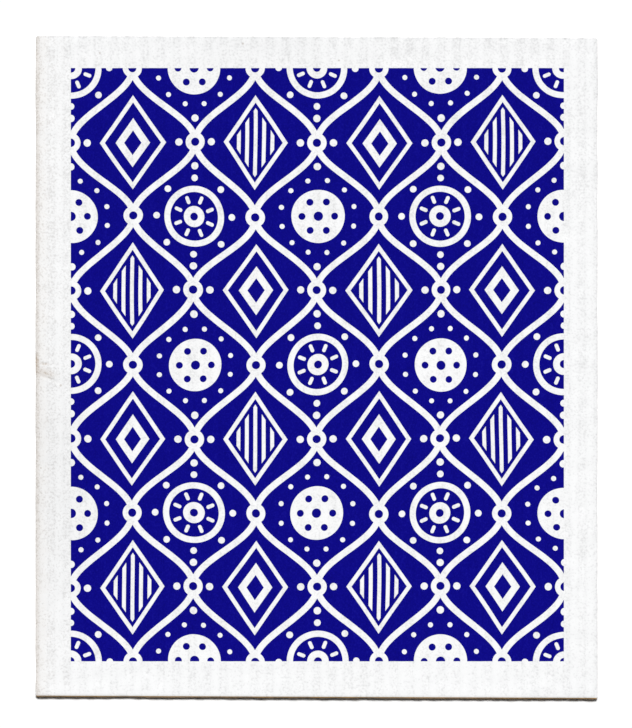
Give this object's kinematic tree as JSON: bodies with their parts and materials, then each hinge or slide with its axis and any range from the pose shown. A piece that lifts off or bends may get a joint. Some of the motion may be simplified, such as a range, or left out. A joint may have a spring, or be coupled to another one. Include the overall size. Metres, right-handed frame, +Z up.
{
  "type": "sponge cloth",
  "caption": "Flat rectangular cellulose sponge cloth with fine lengthwise ribs on both sides and a blue printed panel of bare geometric figures inside a plain off-white margin.",
  "frame": {"origin": "middle of the cloth's bounding box, on the surface that it lies on", "axes": "+Z up out of the printed side, +Y along the ribs towards the cloth's top edge, +X towards its right edge"},
  "size_m": [0.17, 0.2006, 0.002],
  "materials": {
    "cellulose": "matt dry cellulose and cotton sponge sheet, off-white, with a deep blue printed panel on the upper side"
  },
  "bodies": {
    "root": {"sponge_cloth": "cellulose"}
  },
  "joints": []
}
